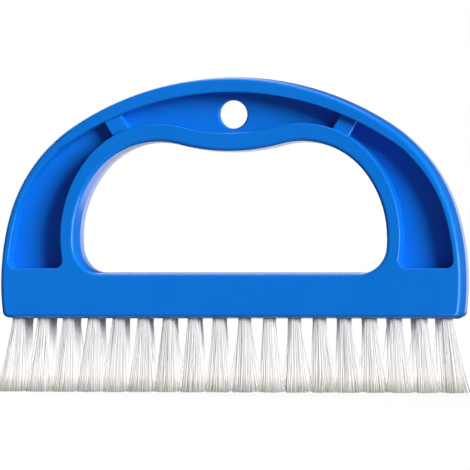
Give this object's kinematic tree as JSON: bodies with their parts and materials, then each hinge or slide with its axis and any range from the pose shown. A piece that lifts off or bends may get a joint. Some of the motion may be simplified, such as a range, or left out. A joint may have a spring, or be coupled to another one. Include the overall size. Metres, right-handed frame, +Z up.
{
  "type": "grout brush",
  "caption": "Hand-held grout brush: arched moulded handle with a hand opening and hanging hole above a straight block set with rows of stiff, flat-trimmed nylon bristle tufts.",
  "frame": {"origin": "bottom of the bristle tips, at the middle of the length and of the thickness", "axes": "+X along the brush, +Y from the front face through the thickness to the back face, +Z up from the bristle tips to the crown of the handle"},
  "size_m": [0.1618, 0.018, 0.1072],
  "materials": {
    "handle_plastic": "satin moulded polypropylene",
    "bristle_nylon": "translucent white nylon filament",
    "anchor_wire": "drawn flat wire"
  },
  "bodies": {
    "root": {"brush_body": "handle_plastic", "tuft_front_01": "bristle_nylon", "tuft_front_02": "bristle_nylon", "tuft_front_03": "bristle_nylon", "tuft_front_04": "bristle_nylon", "tuft_front_05": "bristle_nylon", "tuft_front_06": "bristle_nylon", "tuft_front_07": "bristle_nylon", "tuft_front_08": "bristle_nylon", "tuft_front_09": "bristle_nylon", "tuft_front_10": "bristle_nylon", "tuft_front_11": "bristle_nylon", "tuft_front_12": "bristle_nylon", "tuft_front_13": "bristle_nylon", "tuft_front_14": "bristle_nylon", "tuft_front_15": "bristle_nylon", "tuft_front_16": "bristle_nylon", "tuft_front_17": "bristle_nylon", "tuft_front_18": "bristle_nylon", "tuft_back_01": "bristle_nylon", "tuft_back_02": "bristle_nylon", "tuft_back_03": "bristle_nylon", "tuft_back_04": "bristle_nylon", "tuft_back_05": "bristle_nylon", "tuft_back_06": "bristle_nylon", "tuft_back_07": "bristle_nylon", "tuft_back_08": "bristle_nylon", "tuft_back_09": "bristle_nylon", "tuft_back_10": "bristle_nylon", "tuft_back_11": "bristle_nylon", "tuft_back_12": "bristle_nylon", "tuft_back_13": "bristle_nylon", "tuft_back_14": "bristle_nylon", "tuft_back_15": "bristle_nylon", "tuft_back_16": "bristle_nylon", "tuft_back_17": "bristle_nylon", "tuft_back_18": "bristle_nylon", "front_row_anchors": "anchor_wire", "back_row_anchors": "anchor_wire"}
  },
  "joints": []
}
